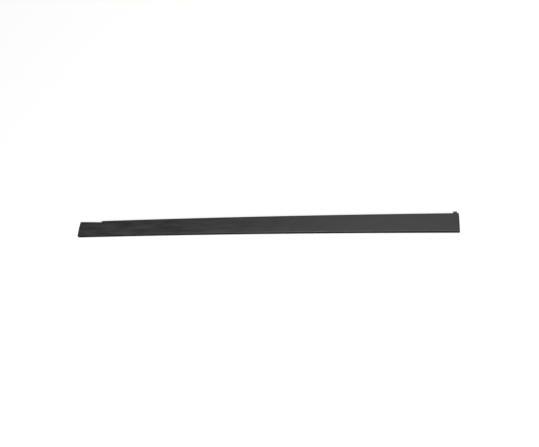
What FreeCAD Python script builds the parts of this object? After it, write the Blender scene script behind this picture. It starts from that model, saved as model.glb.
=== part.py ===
import FreeCAD, Part
import os

import Sketcher

# Self-adhesive side moulding for a car door, lying on its back with its face up.
# X runs along the strip, +Y points to its upper edge and +Z out of its face.
# The origin is on the floor under the middle of the strip.
#
# The strip follows the door's body line, a shallow arch: a parabola that is highest
# over the origin. Whatever runs along the strip is a section carried along that line.

SIZES = {
    # the strip: its length, the arch of its line, and its section
    "strip_length": 974,
    "arch_rise": 3,
    "strip_width": 44,
    "strip_depth": 11,
    "crown_radius": 150,
    "wall_draft": 3,
    "front_round": 3.2,
    # the relief in the upper edge at the left end: a wedge, deepest at its step
    "relief_length": 67,
    "relief_end_depth": 0.75,
    "relief_step_depth": 3.45,
    # the back: a lip all round, a channel for each tape and a cored middle
    "lip_width": 1.6,
    "channel_depth": 0.7,
    "core_wall": 1.6,
    "core_step": 0.8,
    "end_wall": 4.2,
    "skin": 3,
    "bay_count": 24,
    "rib_thickness": 1.6,
    "rib_drop": 1,
    "rib_draft": 1,
    # the foam tapes, with their play in the channels
    "tape_width": 8,
    "tape_thickness": 1.1,
    "tape_side_gap": 0.3,
    "tape_end_gap": 1.9,
    # the liner film over each tape, and the pull tab of the upper one
    "liner_thickness": 0.2,
    "liner_overhang": 0.5,
    "tab_width": 8.5,
    "tab_reach": 6.5,
    "tab_round": 1.5,
}

# Heights of the bodies above the floor.
LINER_HEIGHT = "0"
TAPE_HEIGHT = "sizes.liner_thickness"
STRIP_HEIGHT = "sizes.liner_thickness + sizes.tape_thickness - sizes.channel_depth"

# Distances across the strip from its line.
HALF_WIDTH = "sizes.strip_width / 2"
CHANNEL_WIDTH = "(sizes.tape_width + 2 * sizes.tape_side_gap)"
CHANNEL_MIDDLE = f"({HALF_WIDTH} - sizes.lip_width - {CHANNEL_WIDTH} / 2)"
CORE_HALF = f"({CHANNEL_MIDDLE} - {CHANNEL_WIDTH} / 2 - sizes.core_wall)"
BAY_SIDE = f"({CORE_HALF} - sizes.core_step)"

# Places along the strip, from its middle. The upper channel starts past the relief.
LEFT_END = "(-sizes.strip_length / 2)"
RIGHT_END = "(sizes.strip_length / 2)"
CHANNEL_START = {
    "lower": f"({LEFT_END} + sizes.lip_width)",
    "upper": f"({LEFT_END} + sizes.relief_length + sizes.lip_width)",
}
CHANNEL_END = f"({RIGHT_END} - sizes.lip_width)"
LINER_END_GAP = "(sizes.tape_end_gap - sizes.liner_overhang)"
CORE_LENGTH = "(sizes.strip_length - 2 * sizes.end_wall)"
BAY_PITCH = f"(({CORE_LENGTH} - 2 * sizes.core_step + sizes.rib_thickness) / sizes.bay_count)"
BAY_LENGTH = f"({BAY_PITCH} - sizes.rib_thickness)"
FIRST_BAY = f"({LEFT_END} + sizes.end_wall + sizes.core_step + {BAY_LENGTH} / 2)"

# The radius of the arch at the middle of the strip.
ARCH_RADIUS = "(sizes.strip_length ^ 2 / (8 * sizes.arch_rise))"

doc = FreeCAD.newDocument("side_moulding")


def make_sheet():
    sheet = doc.addObject("Spreadsheet::Sheet", "sizes")
    for row, (name, value) in enumerate(SIZES.items(), 1):
        sheet.set(f"A{row}", name)
        sheet.set(f"B{row}", str(value))
        sheet.setAlias(f"B{row}", name)
    doc.recompute()


def make_body(label, height):
    body = doc.addObject("PartDesign::Body", label)
    body.Label = label
    body.setExpression(".Placement.Base.z", height)
    return body


def make_sketch(body, name, plane):
    origin = body.Origin.OriginFeatures
    sketch = body.newObject("Sketcher::SketchObject", name)
    sketch.AttachmentSupport = [(next(part for part in origin if part.Role == plane), "")]
    sketch.MapMode = "FlatFace"
    return sketch


def value_in(sketch, expression):
    return float(sketch.evalExpression(expression))


def join_ends(sketch, *joints):
    for curve, end, other, other_end in joints:
        sketch.addConstraint(Sketcher.Constraint("Coincident", curve, end, other, other_end))


def drive(sketch, kind, where, expression):
    """Adds a constraint whose value the expression gives."""
    index = sketch.addConstraint(Sketcher.Constraint(kind, *where, value_in(sketch, expression)))
    sketch.setExpression(f"Constraints[{index}]", expression)


def place_point(sketch, curve, end, x, y):
    """Holds one point of a curve at x and y, both given as expressions."""
    drive(sketch, "DistanceX", (-1, 1, curve, end), x)
    drive(sketch, "DistanceY", (-1, 1, curve, end), y)


def add_outline(sketch, corners):
    """A closed outline of straight lines with its corners where the expressions say."""
    points = [FreeCAD.Vector(value_in(sketch, x), value_in(sketch, y), 0) for x, y in corners]
    first = sketch.GeometryCount
    for start, end in zip(points, points[1:] + points[:1]):
        sketch.addGeometry(Part.LineSegment(start, end))
    for side, (x, y) in enumerate(corners):
        join_ends(sketch, (first + side, 2, first + (side + 1) % len(corners), 1))
        place_point(sketch, first + side, 1, x, y)


def add_rectangle(sketch, left, right, bottom, top):
    """A rectangle with its four sides where the expressions say."""
    x0, x1, y0, y1 = (value_in(sketch, side) for side in (left, right, bottom, top))
    corners = [FreeCAD.Vector(x, y, 0) for x, y in ((x0, y0), (x1, y0), (x1, y1), (x0, y1))]
    first = sketch.GeometryCount
    for start, end in zip(corners, corners[1:] + corners[:1]):
        sketch.addGeometry(Part.LineSegment(start, end))
    for side in range(4):
        join_ends(sketch, (first + side, 2, first + (side + 1) % 4, 1))
        direction = "Vertical" if side % 2 else "Horizontal"
        sketch.addConstraint(Sketcher.Constraint(direction, first + side))
    place_point(sketch, first, 1, left, bottom)
    place_point(sketch, first + 2, 1, right, top)


def line_offset(start, end):
    """How far out the body line's control point between two places lies.

    With both places the same, it is the offset of the line itself there."""
    return f"(-4 * sizes.arch_rise * {start} * {end} / sizes.strip_length ^ 2)"


def line_sketch(body, name, start, end):
    """The stretch of the body line between two places, seen from above."""
    sketch = make_sketch(body, name, "XY_Plane")
    middle = f"({start} + {end}) / 2"
    points = [
        (start, line_offset(start, start)),
        (middle, line_offset(start, end)),
        (end, line_offset(end, end)),
    ]
    curve = Part.BSplineCurve()
    curve.buildFromPolesMultsKnots(
        [FreeCAD.Vector(value_in(sketch, x), value_in(sketch, y), 0) for x, y in points],
        [3, 3],
        [0, 1],
        False,
        2,
    )
    line = sketch.addGeometry(curve)
    sketch.exposeInternalGeometry(line)
    for number, (x, y) in enumerate(points, 1):
        place_point(sketch, line + number, 3, x, y)
    return sketch


def section_sketch(body, name, place):
    """A sketch across the strip at a place, with x outwards from the line and y up."""
    sketch = make_sketch(body, name, "YZ_Plane")
    sketch.setExpression(".AttachmentOffset.Base.x", line_offset(place, place))
    sketch.setExpression(".AttachmentOffset.Base.z", place)
    return sketch


def carry(body, kind, name, section, line):
    """Carries a section along a line. It stays square to the strip, so the ends do too."""
    feature = body.newObject(kind, name)
    feature.Profile = section
    feature.Spine = line
    feature.Mode = "Fixed"
    doc.recompute()


def cut_from_back(body, name, sketch):
    """A pocket that starts at the strip's back and goes up into it."""
    pocket = body.newObject("PartDesign::Pocket", name)
    pocket.Profile = sketch
    pocket.Reversed = True
    return pocket


def round_edges(body, name, radius, test):
    """Rounds the edges of the body as it stands that pass the test."""
    base = body.Tip
    edges = [f"Edge{number}" for number, edge in enumerate(base.Shape.Edges, 1) if test(edge)]
    fillet = body.newObject("PartDesign::Fillet", name)
    fillet.Base = (base, edges)
    fillet.setExpression("Radius", radius)
    doc.recompute()


def is_upright(edge):
    run = edge.Vertexes[-1].Point - edge.Vertexes[0].Point
    return abs(run.z) > abs(run.x) + abs(run.y)


def strip_blank(body):
    """A flat back, walls that lean in and a crowned face, carried along the line."""
    line = line_sketch(body, "body_line", LEFT_END, RIGHT_END)
    sketch = section_sketch(body, "strip_section", LEFT_END)
    half, depth = value_in(sketch, HALF_WIDTH), value_in(sketch, "sizes.strip_depth")
    shoulder = depth - value_in(sketch, "sizes.front_round")
    lower_foot, upper_foot = FreeCAD.Vector(-half, 0, 0), FreeCAD.Vector(half, 0, 0)
    low_shoulder = FreeCAD.Vector(-half, shoulder, 0)
    top_shoulder = FreeCAD.Vector(half, shoulder, 0)
    back = sketch.addGeometry(Part.LineSegment(lower_foot, upper_foot))
    upper_wall = sketch.addGeometry(Part.LineSegment(upper_foot, top_shoulder))
    crown = sketch.addGeometry(Part.Arc(top_shoulder, FreeCAD.Vector(0, depth, 0), low_shoulder))
    lower_wall = sketch.addGeometry(Part.LineSegment(low_shoulder, lower_foot))
    join_ends(
        sketch,
        (back, 2, upper_wall, 1),
        (upper_wall, 2, crown, 1),
        (crown, 2, lower_wall, 1),
        (lower_wall, 2, back, 1),
    )
    place_point(sketch, back, 1, f"-{HALF_WIDTH}", "0")
    place_point(sketch, back, 2, HALF_WIDTH, "0")
    place_point(sketch, crown, 3, "0", "sizes.strip_depth - sizes.crown_radius")
    drive(sketch, "Radius", (crown,), "sizes.crown_radius")
    drive(sketch, "Angle", (upper_wall,), "90 + sizes.wall_draft")
    drive(sketch, "Angle", (lower_wall,), "-90 - sizes.wall_draft")
    carry(body, "PartDesign::AdditivePipe", "blank", sketch, line)


def strip_relief(body):
    """Sets the upper edge back at the left end, through the whole depth."""
    sketch = make_sketch(body, "relief_outline", "XY_Plane")
    step = f"({LEFT_END} + sizes.relief_length)"
    end_edge = f"({line_offset(LEFT_END, LEFT_END)} + {HALF_WIDTH} - sizes.relief_end_depth)"
    step_edge = f"({line_offset(step, step)} + {HALF_WIDTH} - sizes.relief_step_depth)"
    outside = f"({LEFT_END} - sizes.relief_step_depth)"
    run_out = f"(({end_edge} - {step_edge}) * sizes.relief_step_depth / sizes.relief_length)"
    beyond = f"({HALF_WIDTH} + sizes.relief_step_depth)"
    add_outline(
        sketch,
        [
            (outside, f"{end_edge} + {run_out}"),
            (step, step_edge),
            (step, beyond),
            (outside, beyond),
        ],
    )
    pocket = cut_from_back(body, "relief", sketch)
    pocket.setExpression("Length", "sizes.strip_depth + sizes.front_round")
    pocket.setExpression("TaperAngle", "sizes.wall_draft")
    doc.recompute()


def strip_round(body):
    """Rounds the edge all round the face. The rounds meet in a mitre at each corner."""
    face = max(body.Tip.Shape.Faces, key=lambda candidate: candidate.CenterOfMass.z)
    round_edges(
        body,
        "front_round",
        "sizes.front_round",
        lambda edge: any(edge.isSame(other) for other in face.Edges),
    )


def cut_along(body, name, across, depth, start, end):
    """A channel of rectangular section in the back, cut along the line."""
    line = line_sketch(body, f"{name}_line", start, end)
    sketch = section_sketch(body, f"{name}_section", start)
    add_rectangle(sketch, *across, f"-{depth}", depth)
    carry(body, "PartDesign::SubtractivePipe", name, sketch, line)


def lay_along(body, name, across, thickness, start, end):
    """A ribbon of rectangular section, laid along the line."""
    line = line_sketch(body, f"{name}_line", start, end)
    sketch = section_sketch(body, f"{name}_section", start)
    add_rectangle(sketch, *across, "0", thickness)
    carry(body, "PartDesign::AdditivePipe", name, sketch, line)


def about_channel(side, width):
    """The two sides of a width that lies centred on a tape channel."""
    middle = CHANNEL_MIDDLE if side == "upper" else f"-{CHANNEL_MIDDLE}"
    return f"{middle} - {width} / 2", f"{middle} + {width} / 2"


def tape_channel(body, side):
    across = about_channel(side, CHANNEL_WIDTH)
    cut_along(body, f"{side}_channel", across, "sizes.channel_depth", CHANNEL_START[side], CHANNEL_END)


def strip_core(body):
    """Cores the middle of the back into two rows of bays between ribs.

    The bays follow the arch, so their outline is drawn from the arch's far centre."""
    across = (f"-{CORE_HALF}", CORE_HALF)
    start, end = f"({LEFT_END} + sizes.end_wall)", f"({RIGHT_END} - sizes.end_wall)"
    cut_along(body, "rib_recess", across, "sizes.rib_drop", start, end)
    sketch = make_sketch(body, "bay_outline", "XY_Plane")
    sketch.AttachmentOffset = FreeCAD.Placement(
        FreeCAD.Vector(), FreeCAD.Rotation(FreeCAD.Vector(0, 0, 1), 1)
    )
    sketch.setExpression(".AttachmentOffset.Base.y", f"-{ARCH_RADIUS}")
    sketch.setExpression(".AttachmentOffset.Rotation.Angle", f"-{FIRST_BAY} / {ARCH_RADIUS} * 180 / pi")
    left, right = f"-{BAY_LENGTH} / 2", f"{BAY_LENGTH} / 2"
    low, high = f"{ARCH_RADIUS} - {BAY_SIDE}", f"{ARCH_RADIUS} + {BAY_SIDE}"
    add_rectangle(sketch, left, right, low, f"{ARCH_RADIUS} - sizes.rib_thickness / 2")
    add_rectangle(sketch, left, right, f"{ARCH_RADIUS} + sizes.rib_thickness / 2", high)
    bay = cut_from_back(body, "bay", sketch)
    bay.setExpression("Length", "sizes.strip_depth - sizes.skin")
    bay.setExpression("TaperAngle", "-sizes.rib_draft")
    doc.recompute()
    pattern = body.newObject("PartDesign::PolarPattern", "bays")
    pattern.Originals = [bay]
    pattern.Axis = (sketch, ["N_Axis"])
    pattern.Reversed = True
    pattern.Mode = "Spacing"
    pattern.setExpression("Offset", f"{BAY_PITCH} / {ARCH_RADIUS} * 180 / pi")
    pattern.setExpression("Occurrences", "sizes.bay_count")
    body.Tip = pattern
    doc.recompute()


def make_strip():
    body = make_body("moulding_strip", STRIP_HEIGHT)
    strip_blank(body)
    strip_relief(body)
    strip_round(body)
    for side in CHANNEL_START:
        tape_channel(body, side)
    strip_core(body)
    return body


def make_tape(side):
    """A foam tape, laid in its channel with a little play all round."""
    body = make_body(f"foam_tape_{side}", TAPE_HEIGHT)
    start, end = f"({CHANNEL_START[side]} + sizes.tape_end_gap)", f"({CHANNEL_END} - sizes.tape_end_gap)"
    lay_along(body, "tape", about_channel(side, "sizes.tape_width"), "sizes.tape_thickness", start, end)
    return body


def make_liner(side):
    """The film over a tape, a little wider and longer than the tape."""
    body = make_body(f"release_liner_{side}", LINER_HEIGHT)
    across = about_channel(side, "(sizes.tape_width + 2 * sizes.liner_overhang)")
    start, end = f"({CHANNEL_START[side]} + {LINER_END_GAP})", f"({CHANNEL_END} - {LINER_END_GAP})"
    lay_along(body, "film", across, "sizes.liner_thickness", start, end)
    return body


def add_pull_tab(body):
    """The upper film's tab, turned out past the upper edge at the right end."""
    sketch = make_sketch(body, "tab_outline", "XY_Plane")
    line = line_offset(RIGHT_END, RIGHT_END)
    right = f"({CHANNEL_END} - {LINER_END_GAP})"
    tip = f"{line} + {HALF_WIDTH} + sizes.tab_reach"
    add_rectangle(sketch, f"{right} - sizes.tab_width", right, f"{line} + {CHANNEL_MIDDLE}", tip)
    tab = body.newObject("PartDesign::Pad", "pull_tab")
    tab.Profile = sketch
    tab.setExpression("Length", "sizes.liner_thickness")
    doc.recompute()
    free_end = value_in(sketch, f"{tip} - sizes.tab_round")
    round_edges(
        body,
        "tab_corners",
        "sizes.tab_round",
        lambda edge: is_upright(edge) and edge.CenterOfMass.y > free_end,
    )


def export(bodies):
    """Writes each body to its own file, once everything has been found sound."""
    doc.recompute()
    for item in doc.Objects:
        if "Invalid" in item.State or "Error" in item.State:
            raise RuntimeError(f"{item.Name} failed: {item.State}")
    for body in bodies:
        if body.Shape.isNull() or not body.Shape.isValid() or len(body.Shape.Solids) != 1:
            raise RuntimeError(f"{body.Label} isn't one sound solid")
    os.makedirs("parts", exist_ok=True)
    for body in bodies:
        body.Shape.exportStep(f"parts/{body.Label}.step")


make_sheet()
strip = make_strip()
tapes = [make_tape(side) for side in CHANNEL_START]
liners = [make_liner(side) for side in CHANNEL_START]
add_pull_tab(liners[1])
export([strip, *tapes, *liners])
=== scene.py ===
import math

import bmesh
import bpy
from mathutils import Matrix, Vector


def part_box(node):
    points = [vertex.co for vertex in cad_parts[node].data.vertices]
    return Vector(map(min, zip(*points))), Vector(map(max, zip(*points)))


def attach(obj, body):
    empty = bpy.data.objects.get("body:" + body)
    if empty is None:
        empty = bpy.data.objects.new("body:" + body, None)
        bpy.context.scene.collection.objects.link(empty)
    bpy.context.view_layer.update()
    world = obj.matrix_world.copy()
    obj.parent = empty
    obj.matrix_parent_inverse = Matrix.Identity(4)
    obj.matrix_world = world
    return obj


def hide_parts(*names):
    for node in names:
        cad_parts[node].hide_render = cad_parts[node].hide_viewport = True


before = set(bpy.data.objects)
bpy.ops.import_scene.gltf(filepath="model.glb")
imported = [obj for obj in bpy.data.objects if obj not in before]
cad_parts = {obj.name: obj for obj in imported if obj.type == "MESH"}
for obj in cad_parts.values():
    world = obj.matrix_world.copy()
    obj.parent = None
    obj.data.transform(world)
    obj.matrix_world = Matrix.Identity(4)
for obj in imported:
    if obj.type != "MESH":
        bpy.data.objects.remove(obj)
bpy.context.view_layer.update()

# The moulding strip.
# One injection moulding in charcoal polypropylene: a crowned face with a fine
# grain, walls that lean in, and a back that is cored out between thin ribs.

strip_low, strip_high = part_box("moulding_strip")
strip_length = strip_high.x - strip_low.x
strip_depth = strip_high.z - strip_low.z
strip_width = 0.044
arch_rise = 0.003
crown_radius = 0.150
crown_reach = 0.0145
wall_draft = math.radians(3)
front_round = 0.0032
corner_round = 0.0008
relief_length = 0.067
relief_end_depth = 0.00075
relief_step_depth = 0.00345

lip_width = 0.0016
channel_width = 0.0086
channel_depth = 0.0007
core_wall = 0.0016
core_step = 0.0008
end_wall = 0.0042
rib_drop = 0.001
skin = 0.003
bay_count = 24
rib_thickness = 0.0016
rib_draft = math.radians(1)
root_round = 0.0006
lip_round = 0.00015

pin_radius = 0.0022
pin_depth = 0.00012
gate_bays = (3, 12, 20)
gate_radius = 0.0011
gate_height = 0.0005
mark_draft = math.radians(10)

half_length, half_width = strip_length / 2, strip_width / 2
relief_end = relief_length - half_length
channel_outside = half_width - lip_width
channel_inside = channel_outside - channel_width
channel_end = half_length - lip_width
upper_channel_start = relief_end + lip_width
core_half = channel_inside - core_wall
core_end = half_length - end_wall
bay_side = core_half - core_step
bay_pitch = (2 * (core_end - core_step) + rib_thickness) / bay_count
bay_half = (bay_pitch - rib_thickness) / 2
bay_places = [(number - (bay_count - 1) / 2) * bay_pitch for number in range(bay_count)]
bay_ceiling = strip_depth - skin
row_middle = (bay_side + rib_thickness / 2) / 2

# Places closer than this are the same place.
near = 1e-6


def line_drop(x):
    """How far the door's body line, a shallow parabola, has dropped at a place."""
    return arch_rise * (x / half_length) ** 2


def crown_height(y):
    """The height of the crowned face at a distance from the strip's line."""
    return strip_depth - crown_radius + math.sqrt(crown_radius**2 - y**2)


def slice_across(mesh, faces, axis, places):
    """Cuts faces with planes square to an axis and returns all that they become."""
    normal = Vector([float(axis == name) for name in "xyz"])
    for place in places:
        parts = {part for face in faces for part in (face, *face.edges, *face.verts)}
        cut = bmesh.ops.bisect_plane(
            mesh, geom=list(parts), dist=near / 10, plane_co=normal * place, plane_no=normal
        )
        faces = [part for part in cut["geom"] if isinstance(part, bmesh.types.BMFace)]
    return faces


def back_faces(mesh, height, x_range, y_range):
    """The flat faces of the back at a height whose middles are in a rectangle."""
    found = []
    for face in mesh.faces:
        middle = face.calc_center_bounds()
        level = abs(middle.z - height) < near and face.normal.z < -0.99
        if level and x_range[0] < middle.x < x_range[1] and y_range[0] < middle.y < y_range[1]:
            found.append(face)
    return found


def round_edges(mesh, edges, offset, segments):
    """Rounds edges; the offset is how far along its faces each round begins."""
    bmesh.ops.bevel(
        mesh, geom=edges, offset=offset, segments=segments, profile=0.5, affect="EDGES", material=-1
    )


def sink(mesh, faces, depth, draft=0.0):
    """Presses faces of the back up into the strip as one, with walls at a draft angle."""
    region = faces
    if len(faces) > 1:
        region = bmesh.ops.dissolve_faces(mesh, faces=faces)["region"]
    for face in region:
        face.normal_update()
    bmesh.ops.inset_region(
        mesh,
        faces=region,
        thickness=abs(depth) * math.tan(draft),
        depth=-depth,
        use_even_offset=True,
    )


def mould_front(mesh):
    """The shell seen from the front: leaning walls, crowned face, rounded edges.

    The rim between walls and face is rounded first, while the corners are sharp, and
    then each corner's edges, from the foot up over the rim, as one chain."""
    outline = [
        (-half_length, -half_width),
        (half_length, -half_width),
        (half_length, half_width),
        (relief_end, half_width),
        (relief_end, half_width - relief_step_depth),
        (-half_length, half_width - relief_end_depth),
    ]
    foot = mesh.faces.new([mesh.verts.new((x, y, 0)) for x, y in outline])
    foot.normal_update()
    edge_height = crown_height(half_width)
    bmesh.ops.inset_region(
        mesh,
        faces=[foot],
        thickness=edge_height * math.tan(wall_draft),
        depth=edge_height,
        use_boundary=True,
        use_even_offset=True,
    )
    face = max(mesh.faces, key=lambda candidate: candidate.calc_center_median().z)
    lines = [crown_reach * step / 7 for step in range(-7, 8)]
    for part in slice_across(mesh, [face], "y", lines):
        for vert in part.verts:
            vert.co.z = crown_height(vert.co.y)
    mesh.normal_update()
    rim = []
    for edge in mesh.edges:
        slopes = sorted(part.normal.z for part in edge.link_faces)
        if len(slopes) == 2 and slopes[0] < 0.5 < slopes[1]:
            rim.append(edge)
    turn = math.radians(90) - wall_draft - half_width / crown_radius / 2
    round_edges(mesh, rim, front_round * math.tan(turn / 2), 12)
    corners = []
    for edge in mesh.edges:
        run = edge.verts[1].co - edge.verts[0].co
        shorter, longer = sorted((abs(run.x), abs(run.y)))
        if shorter > 0.3 * longer and abs(run.z) > near / 10:
            corners.append(edge)
    round_edges(mesh, corners, corner_round, 7)
    grained = mesh.faces.layers.float.new("grained")
    for part in mesh.faces:
        part[grained] = 1


def mould_back(mesh):
    """The back: a lip all round, a channel for each tape and two rows of bays."""
    bmesh.ops.holes_fill(mesh, edges=[edge for edge in mesh.edges if edge.is_boundary])
    mesh.normal_update()
    back = back_faces(mesh, 0, (-1, 1), (-1, 1))
    for part in back:
        part[mesh.faces.layers.float["grained"]] = 0
    sides = (core_half, channel_inside, channel_outside)
    across = sorted([-side for side in sides] + list(sides))
    along = [-channel_end, -core_end, upper_channel_start, core_end, channel_end]
    slice_across(mesh, slice_across(mesh, back, "x", along), "y", across)
    lower_span, upper_span = (-channel_end, channel_end), (upper_channel_start, channel_end)
    lower = back_faces(mesh, 0, lower_span, (-channel_outside, -channel_inside))
    upper = back_faces(mesh, 0, upper_span, (channel_inside, channel_outside))
    core = back_faces(mesh, 0, (-core_end, core_end), (-core_half, core_half))
    sink(mesh, lower, channel_depth)
    sink(mesh, upper, channel_depth)
    sink(mesh, core, rib_drop)

    core = back_faces(mesh, rib_drop, (-core_end, core_end), (-core_half, core_half))
    bay_ends = [place + side for place in bay_places for side in (-bay_half, bay_half)]
    rows = ((-bay_side, -rib_thickness / 2), (rib_thickness / 2, bay_side))
    core = slice_across(mesh, core, "y", [*rows[0], *rows[1]])
    slice_across(mesh, core, "x", bay_ends)
    for place in bay_places:
        for row in rows:
            bay = back_faces(mesh, rib_drop, (place - bay_half, place + bay_half), row)
            sink(mesh, bay, bay_ceiling - rib_drop, rib_draft)
    mesh.normal_update()
    roots = [
        edge
        for edge in mesh.edges
        if all(abs(vert.co.z - bay_ceiling) < near for vert in edge.verts)
        and edge.calc_face_angle(0) > math.radians(60)
    ]
    round_edges(mesh, roots, root_round, 3)
    mesh.normal_update()
    crests = [
        edge
        for edge in mesh.edges
        if edge.calc_face_angle_signed(0) > math.radians(40)
        and max(vert.co.z for vert in edge.verts) < rib_drop + near
    ]
    round_edges(mesh, crests, lip_round, 2)
    mesh.normal_update()


def press_mark(mesh, x, y, radius, depth):
    """A round mark in a bay's ceiling: sunk, or standing out where the depth is below 0."""
    reach = 2 * radius
    faces = back_faces(mesh, bay_ceiling, (x - reach, x + reach), (y - reach, y + reach))
    faces = slice_across(mesh, faces, "x", [x - radius, x + radius])
    faces = slice_across(mesh, faces, "y", [y - radius, y + radius])
    middle = Vector((x, y, bay_ceiling))
    square = min(faces, key=lambda face: (face.calc_center_bounds() - middle).length)
    bmesh.ops.subdivide_edges(mesh, edges=square.edges[:], cuts=5)
    for vert in square.verts:
        vert.co = middle + (vert.co - middle).normalized() * radius
    sink(mesh, [square], depth, mark_draft)


def bend_to_line(mesh):
    """Bends a piece that was made straight to the body line."""
    for vert in mesh.verts:
        vert.co.y -= line_drop(vert.co.x)


def show_piece(mesh, name, material, height):
    """Sets a finished mesh at its height above the floor, as a piece with smooth rounds."""
    bmesh.ops.translate(mesh, verts=mesh.verts[:], vec=(0, 0, height))
    bmesh.ops.recalc_face_normals(mesh, faces=mesh.faces[:])
    data = bpy.data.meshes.new(name)
    mesh.to_mesh(data)
    mesh.free()
    data.shade_smooth()
    data.set_sharp_from_angle(angle=math.radians(15))
    data.materials.append(material)
    piece = bpy.data.objects.new(name, data)
    bpy.context.scene.collection.objects.link(piece)
    return piece


strip_mesh = bmesh.new()
mould_front(strip_mesh)
mould_back(strip_mesh)
for number, place in enumerate(bay_places):
    pin_row = row_middle if number % 2 else -row_middle
    press_mark(strip_mesh, place, pin_row, pin_radius, pin_depth)
    if number in gate_bays:
        press_mark(strip_mesh, place, -pin_row, gate_radius, -gate_height)
rib_places = [place + bay_pitch / 2 for place in bay_places[:-1]]
slice_across(strip_mesh, strip_mesh.faces[:], "x", rib_places)
bend_to_line(strip_mesh)


def surface_grain():
    """A surface's texture: the height of its fine cells and slow waves, and a mottle.

    The waves and the mottle are drawn out along the strip, as the flow in the tool or
    a roller draws them. Sizes are in metres, and a cell's height is 1."""
    group = bpy.data.node_groups.new("surface_grain", "ShaderNodeTree")
    for label in ("Cell size", "Wave size", "Wave height", "Mottle size"):
        group.interface.new_socket(label, in_out="INPUT", socket_type="NodeSocketFloat")
    for label in ("Height", "Mottle"):
        group.interface.new_socket(label, in_out="OUTPUT", socket_type="NodeSocketFloat")
    given, made = group.nodes.new("NodeGroupInput"), group.nodes.new("NodeGroupOutput")
    place, drawn = group.nodes.new("ShaderNodeTexCoord"), group.nodes.new("ShaderNodeMapping")
    drawn.inputs["Scale"].default_value = (0.17, 1, 1)
    group.links.new(place.outputs["Object"], drawn.inputs["Vector"])
    patterns = {}
    for label, texture, source in (
        ("Cell size", "ShaderNodeTexVoronoi", place.outputs["Object"]),
        ("Wave size", "ShaderNodeTexNoise", drawn.outputs["Vector"]),
        ("Mottle size", "ShaderNodeTexNoise", drawn.outputs["Vector"]),
    ):
        scale = group.nodes.new("ShaderNodeMath")
        scale.operation = "DIVIDE"
        scale.inputs[0].default_value = 1
        pattern = group.nodes.new(texture)
        group.links.new(given.outputs[label], scale.inputs[1])
        group.links.new(scale.outputs["Value"], pattern.inputs["Scale"])
        group.links.new(source, pattern.inputs["Vector"])
        patterns[label] = pattern
    patterns["Cell size"].feature = "SMOOTH_F1"
    patterns["Cell size"].inputs["Smoothness"].default_value = 0.6
    patterns["Mottle size"].inputs["Detail"].default_value = 4
    waves = group.nodes.new("ShaderNodeMath")
    waves.operation = "MULTIPLY_ADD"
    group.links.new(patterns["Wave size"].outputs["Fac"], waves.inputs[0])
    group.links.new(given.outputs["Wave height"], waves.inputs[1])
    group.links.new(patterns["Cell size"].outputs["Distance"], waves.inputs[2])
    group.links.new(waves.outputs["Value"], made.inputs["Height"])
    group.links.new(patterns["Mottle size"].outputs["Fac"], made.inputs["Mottle"])
    return group


grain_group = surface_grain()
mottle_range = (0.3, 0.7)


def surface_material(name, grain, colors, roughness, bump_distance):
    """A plastic whose colour and gloss drift with the mottle and whose surface has the grain."""
    material = bpy.data.materials.new(name)
    material.use_nodes = True
    nodes, links = material.node_tree.nodes, material.node_tree.links
    shader = nodes["Principled BSDF"]
    surface = nodes.new("ShaderNodeGroup")
    surface.node_tree = grain_group
    for label, value in grain.items():
        surface.inputs[label].default_value = value
    tint = nodes.new("ShaderNodeValToRGB")
    for stop, color, position in zip(tint.color_ramp.elements, colors, mottle_range):
        stop.position = position
        stop.color = (*color, 1)
    gloss = nodes.new("ShaderNodeMapRange")
    gloss.inputs["From Min"].default_value, gloss.inputs["From Max"].default_value = mottle_range
    gloss.inputs["To Min"].default_value, gloss.inputs["To Max"].default_value = roughness
    bump = nodes.new("ShaderNodeBump")
    bump.inputs["Strength"].default_value = 1
    bump.inputs["Distance"].default_value = bump_distance
    links.new(surface.outputs["Mottle"], tint.inputs["Fac"])
    links.new(tint.outputs["Color"], shader.inputs["Base Color"])
    links.new(surface.outputs["Mottle"], gloss.inputs["Value"])
    links.new(gloss.outputs["Result"], shader.inputs["Roughness"])
    links.new(surface.outputs["Height"], bump.inputs["Height"])
    links.new(bump.outputs["Normal"], shader.inputs["Normal"])
    return material


charcoal = surface_material(
    "charcoal_plastic",
    {"Cell size": 0.0006, "Wave size": 0.008, "Wave height": 3, "Mottle size": 0.009},
    colors=((0.0098, 0.0098, 0.0100), (0.0238, 0.0239, 0.0242)),
    roughness=(0.44, 0.64),
    bump_distance=0.00004,
)
charcoal.node_tree.nodes["Principled BSDF"].inputs["IOR"].default_value = 1.46


def polish_back(material, grain_left, gloss_gain):
    """Weakens the grain and the dullness where the mesh isn't marked as grained."""
    nodes, links = material.node_tree.nodes, material.node_tree.links
    shader = nodes["Principled BSDF"]
    mask = nodes.new("ShaderNodeAttribute")
    mask.attribute_name = "grained"
    bump = shader.inputs["Normal"].links[0].from_node
    dullness = shader.inputs["Roughness"].links[0].from_socket
    shares = []
    for share in (grain_left, gloss_gain):
        fade = nodes.new("ShaderNodeMapRange")
        fade.inputs["To Min"].default_value = share
        links.new(mask.outputs["Fac"], fade.inputs["Value"])
        shares.append(fade.outputs["Result"])
    links.new(shares[0], bump.inputs["Strength"])
    faded = nodes.new("ShaderNodeMath")
    faded.operation = "MULTIPLY"
    links.new(dullness, faded.inputs[0])
    links.new(shares[1], faded.inputs[1])
    links.new(faded.outputs["Value"], shader.inputs["Roughness"])


polish_back(charcoal, grain_left=0.25, gloss_gain=0.72)

strip = show_piece(strip_mesh, "moulding_strip_part", charcoal, strip_low.z)
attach(strip, "root")
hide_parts("moulding_strip")

# The foam tapes.
# Two lengths of black double-sided acrylic foam tape, slit from a roll and
# pressed into the channels in the back by their own adhesive.

tape_width = 0.008
tape_end_gap = 0.0019
tape_edge_round = 0.00012
ribbon_steps = 120
channel_middle = (channel_outside + channel_inside) / 2


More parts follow.
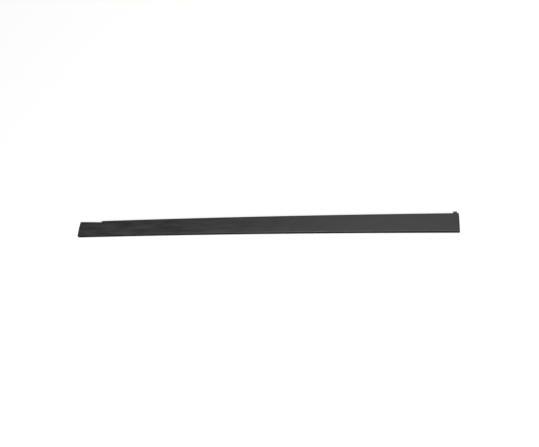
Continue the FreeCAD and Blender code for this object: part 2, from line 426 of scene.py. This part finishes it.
def flat_ribbon(start, end, middle, width):
    """A straight flat ribbon, cut into steps so that it can follow the body line."""
    mesh = bmesh.new()
    bmesh.ops.create_grid(mesh, x_segments=ribbon_steps, y_segments=4, size=0.5)
    bmesh.ops.scale(mesh, verts=mesh.verts[:], vec=(end - start, width, 1))
    bmesh.ops.translate(mesh, verts=mesh.verts[:], vec=((start + end) / 2, middle, 0))
    return mesh


def thicken(mesh, thickness, edge_round):
    """Gives a flat ribbon its thickness upwards, and soft edges."""
    top = bmesh.ops.extrude_face_region(mesh, geom=mesh.faces[:], use_keep_orig=True)
    raised = [part for part in top["geom"] if isinstance(part, bmesh.types.BMVert)]
    bmesh.ops.translate(mesh, verts=raised, vec=(0, 0, thickness))
    bmesh.ops.recalc_face_normals(mesh, faces=mesh.faces[:])
    sharp = [edge for edge in mesh.edges if edge.calc_face_angle(0) > math.radians(60)]
    round_edges(mesh, sharp, edge_round, 2)


foam = surface_material(
    "acrylic_foam",
    {"Cell size": 0.00025, "Wave size": 0.003, "Wave height": 1, "Mottle size": 0.006},
    colors=((0.012, 0.012, 0.013), (0.022, 0.022, 0.023)),
    roughness=(0.80, 0.92),
    bump_distance=0.00006,
)

for side, channel_start in (("upper", upper_channel_start), ("lower", -channel_end)):
    node = f"foam_tape_{side}"
    low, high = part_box(node)
    middle = channel_middle if side == "upper" else -channel_middle
    tape_start, tape_end = channel_start + tape_end_gap, channel_end - tape_end_gap
    tape_mesh = flat_ribbon(tape_start, tape_end, middle, tape_width)
    thicken(tape_mesh, high.z - low.z, tape_edge_round)
    bend_to_line(tape_mesh)
    tape = show_piece(tape_mesh, f"{node}_part", foam, low.z)
    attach(tape, "root")
    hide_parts(node)

# The release liners.
# A red polyethylene film over each tape, a little wider than it. The upper
# one ends in a tab to pull it off by, turned out past the strip's upper edge.

liner_overhang = 0.0005
liner_edge_round = 0.00004
liner_end_gap = tape_end_gap - liner_overhang
tab_width = 0.0085
tab_round = 0.0015
tab_curl = 0.0007
curl_start = half_width + 0.0006
curl_steps = 10


def pull_tab(mesh, film_end, tip):
    """Grows the film's last stretch outwards into a tab with round corners and a slight curl."""
    tab_start = film_end - tab_width
    slice_across(mesh, mesh.faces[:], "x", [tab_start])
    film_edge = max(vert.co.y for vert in mesh.verts)
    root = [
        edge
        for edge in mesh.edges
        if all(vert.co.y > film_edge - near and vert.co.x > tab_start - near for vert in edge.verts)
    ]
    grown = bmesh.ops.extrude_edge_only(mesh, edges=root)["geom"]
    ends = [part for part in grown if isinstance(part, bmesh.types.BMVert)]
    bmesh.ops.translate(mesh, verts=ends, vec=(0, tip - film_edge, 0))
    inner = [vert for vert in ends if tab_start + near < vert.co.x < film_end - near]
    bmesh.ops.dissolve_verts(mesh, verts=inner)
    corners = [vert for vert in mesh.verts if vert.co.y > tip - near]
    bmesh.ops.bevel(
        mesh, geom=corners, offset=tab_round, segments=6, profile=0.5, affect="VERTICES", material=-1
    )
    tab = [face for face in mesh.faces if face.calc_center_median().y > film_edge]
    curled = tip - curl_start
    places = [curl_start + curled * step / curl_steps for step in range(curl_steps)]
    slice_across(mesh, tab, "y", places)
    for vert in mesh.verts:
        if vert.co.y > curl_start:
            vert.co.z += tab_curl * ((vert.co.y - curl_start) / curled) ** 2


film = surface_material(
    "liner_film",
    {"Cell size": 0.0009, "Wave size": 0.006, "Wave height": 6, "Mottle size": 0.008},
    colors=((0.115, 0.008, 0.008), (0.17, 0.013, 0.012)),
    roughness=(0.26, 0.40),
    bump_distance=0.00002,
)

for side, channel_start in (("upper", upper_channel_start), ("lower", -channel_end)):
    node = f"release_liner_{side}"
    low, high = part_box(node)
    middle = channel_middle if side == "upper" else -channel_middle
    film_end = channel_end - liner_end_gap
    film_width = tape_width + 2 * liner_overhang
    liner_mesh = flat_ribbon(channel_start + liner_end_gap, film_end, middle, film_width)
    if side == "upper":
        pull_tab(liner_mesh, film_end, high.y + line_drop(film_end - tab_width))
    thicken(liner_mesh, high.z - low.z, liner_edge_round)
    bend_to_line(liner_mesh)
    liner = show_piece(liner_mesh, f"{node}_part", film, low.z)
    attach(liner, "root")
    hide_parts(node)

# The studio.
# A wide pale floor under soft light from overhead, the front and, weakly, the
# back, and the camera, fitted to the strip's outline in the photograph.

floor_half = 12
floor_gap = 0.00005

floor_mesh = bmesh.new()
bmesh.ops.create_grid(floor_mesh, x_segments=1, y_segments=1, size=floor_half)
bmesh.ops.translate(floor_mesh, verts=floor_mesh.verts[:], vec=(0, 0, -floor_gap))
floor_data = bpy.data.meshes.new("floor")
floor_mesh.to_mesh(floor_data)
floor_mesh.free()
floor = bpy.data.objects.new("floor", floor_data)
bpy.context.scene.collection.objects.link(floor)


def pale_floor():
    """White paper to the camera; what it throws back at the strip is held down."""
    material = bpy.data.materials.new("pale_floor")
    material.use_nodes = True
    nodes, links = material.node_tree.nodes, material.node_tree.links
    nodes.remove(nodes["Principled BSDF"])
    seen, glow = nodes.new("ShaderNodeBsdfDiffuse"), nodes.new("ShaderNodeEmission")
    both = nodes.new("ShaderNodeAddShader")
    seen.inputs["Color"].default_value = (0.15, 0.15, 0.15, 1)
    glow.inputs["Strength"].default_value = 0.85
    dim = nodes.new("ShaderNodeBsdfDiffuse")
    dim.inputs["Color"].default_value = (0.06, 0.06, 0.06, 1)
    path, choice = nodes.new("ShaderNodeLightPath"), nodes.new("ShaderNodeMixShader")
    links.new(seen.outputs[0], both.inputs[0])
    links.new(glow.outputs[0], both.inputs[1])
    links.new(path.outputs["Is Camera Ray"], choice.inputs["Fac"])
    links.new(dim.outputs[0], choice.inputs[1])
    links.new(both.outputs[0], choice.inputs[2])
    links.new(choice.outputs[0], nodes["Material Output"].inputs["Surface"])
    return material


floor_data.materials.append(pale_floor())


def studio_air():
    """A white room to the camera, and for the light a dome that is dim at the horizon."""
    world = bpy.data.worlds.new("studio")
    world.use_nodes = True
    nodes, links = world.node_tree.nodes, world.node_tree.links
    dome, room = nodes["Background"], nodes.new("ShaderNodeBackground")
    room.inputs["Color"].default_value = (0.888, 0.888, 0.888, 1)
    place, parts = nodes.new("ShaderNodeTexCoord"), nodes.new("ShaderNodeSeparateXYZ")
    rise = nodes.new("ShaderNodeMapRange")
    rise.interpolation_type = "SMOOTHSTEP"
    rise.inputs["From Min"].default_value, rise.inputs["From Max"].default_value = 0.0, 0.9
    rise.inputs["To Min"].default_value, rise.inputs["To Max"].default_value = 0.05, 0.26
    path, choice = nodes.new("ShaderNodeLightPath"), nodes.new("ShaderNodeMixShader")
    links.new(place.outputs["Generated"], parts.inputs["Vector"])
    links.new(parts.outputs["Z"], rise.inputs["Value"])
    links.new(rise.outputs["Result"], dome.inputs["Strength"])
    dome.inputs["Color"].default_value = (1, 1, 1, 1)
    links.new(path.outputs["Is Camera Ray"], choice.inputs["Fac"])
    links.new(dome.outputs[0], choice.inputs[1])
    links.new(room.outputs[0], choice.inputs[2])
    links.new(choice.outputs[0], nodes["World Output"].inputs["Surface"])
    return world


bpy.context.scene.world = studio_air()


def softbox(name, place, size, power):
    """A square soft light that faces the middle of the strip."""
    light = bpy.data.lights.new(name, "AREA")
    light.shape = "SQUARE"
    light.size = size
    light.energy = power
    lamp = bpy.data.objects.new(name, light)
    lamp.location = place
    lamp.rotation_mode = "QUATERNION"
    lamp.rotation_quaternion = (-Vector(place)).to_track_quat("-Z", "Y")
    bpy.context.scene.collection.objects.link(lamp)


softbox("overhead", (0.4, 0.9, 2.4), 1.8, 25)
softbox("front", (0.1, -1.75, 1.8), 1.2, 67)
softbox("back", (0.3, 2.2, 1.4), 1.2, 8)

view = bpy.context.scene.view_settings
view.view_transform = "Standard"
view.look = "None"

lens = bpy.data.cameras.new("camera")
lens.sensor_width = 36
lens.lens = 31.46
lens.clip_start = 0.01
camera = bpy.data.objects.new("camera", lens)
camera.location = (0.36782, -0.38966, 1.03914)
camera.rotation_mode = "ZXY"
camera.rotation_euler = (math.radians(20.006), math.radians(16.846), math.radians(4.799))
bpy.context.scene.collection.objects.link(camera)
bpy.context.scene.camera = camera
